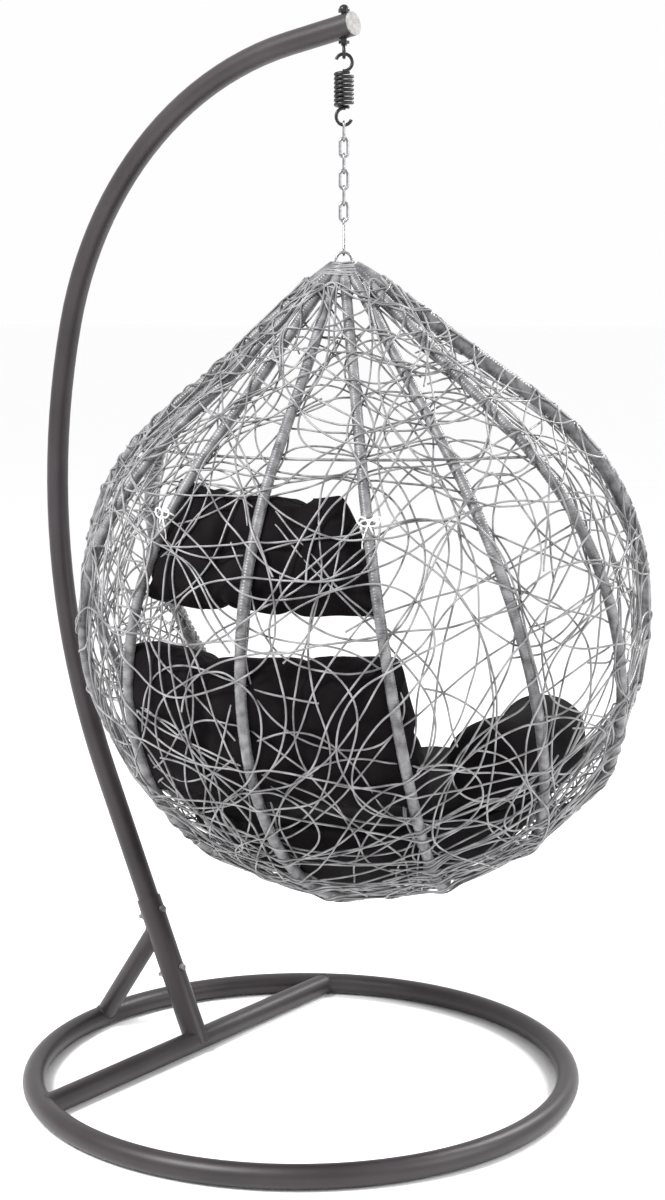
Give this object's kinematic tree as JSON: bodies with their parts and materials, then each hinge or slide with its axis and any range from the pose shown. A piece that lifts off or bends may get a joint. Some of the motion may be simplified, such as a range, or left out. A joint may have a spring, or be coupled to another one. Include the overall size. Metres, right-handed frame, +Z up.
{
  "type": "hanging egg chair",
  "caption": "Hanging egg chair: teardrop woven basket with cushions, hung by ring, chain and spring from a C-shaped arm on a round floor ring.",
  "frame": {"origin": "centre of the base ring, on the floor", "axes": "+Z up; +Y from the centre to the arm's foot; the basket opens towards +X"},
  "size_m": [1.0498, 1.2363, 1.9779],
  "materials": {
    "stand_paint": "satin",
    "black_steel": "satin",
    "zinc": "satin",
    "end_cap": "matt",
    "rattan_wrap": "satin",
    "rattan_strand": "satin",
    "white_cord": "matt",
    "cushion_fabric": "matt"
  },
  "bodies": {
    "stand": {"base_ring": "stand_paint", "cross_bar": "stand_paint", "socket_post": "stand_paint", "brace_tube": "stand_paint", "arm_tube": "stand_paint", "arm_end_cap": "end_cap", "post_bolts": "zinc", "post_nuts": "zinc", "eye_bolt": "black_steel", "eye_nut": "black_steel", "dome_nut": "black_steel"},
    "spring_top": {"spring_top_hook": "black_steel", "spring_coil": "black_steel"},
    "spring_foot": {"spring_bottom_hook": "black_steel"},
    "chain": {"chain_link_1": "zinc", "chain_link_2": "zinc", "chain_link_3": "zinc", "chain_link_4": "zinc", "chain_link_5": "zinc", "chain_link_6": "zinc", "s_hook": "zinc"},
    "basket": {"hang_ring": "zinc", "crown": "rattan_wrap", "rim_left": "rattan_wrap", "rim_right": "rattan_wrap", "rib_1": "rattan_wrap", "rib_2": "rattan_wrap", "rib_3": "rattan_wrap", "rib_4": "rattan_wrap", "rib_5": "rattan_wrap", "rib_6": "rattan_wrap", "rib_7": "rattan_wrap", "hoop": "rattan_strand", "weave_panel_1": "rattan_strand", "weave_panel_2": "rattan_strand", "weave_panel_3": "rattan_strand", "weave_panel_4": "rattan_strand", "weave_panel_5": "rattan_strand", "weave_panel_6": "rattan_strand", "weave_panel_7": "rattan_strand", "weave_panel_8": "rattan_strand", "seat_cushion": "cushion_fabric", "back_cushion": "cushion_fabric", "head_cushion": "cushion_fabric", "armrest_cushion_left": "cushion_fabric", "armrest_cushion_right": "cushion_fabric", "tie_left": "white_cord", "tie_right": "white_cord"}
  },
  "joints": [
    {"name": "swing_at_eye", "type": "hinge", "parent": "stand", "child": "spring_top", "pos_m": [0, -0.098, 1.8875], "axis": [0.8018, 0.5976, 0], "range_deg": [-14, 2]},
    {"name": "bounce", "type": "slide", "parent": "spring_top", "child": "spring_foot", "axis": [0, 0, -1], "range_m": [0, 0.05], "stiffness_N_per_m": 20000, "springref_m": -0.02, "deforming": ["spring_coil"]},
    {"name": "swing_at_hook", "type": "hinge", "parent": "spring_foot", "child": "chain", "pos_m": [0, -0.098, 1.7715], "axis": [-0.8358, 0.549, 0], "range_deg": [-2, 14]},
    {"name": "basket_twist", "type": "hinge", "parent": "chain", "child": "basket", "pos_m": [0, -0.098, 1.5506], "axis": [0, 0, 1], "range_deg": [-40, 20]}
  ]
}
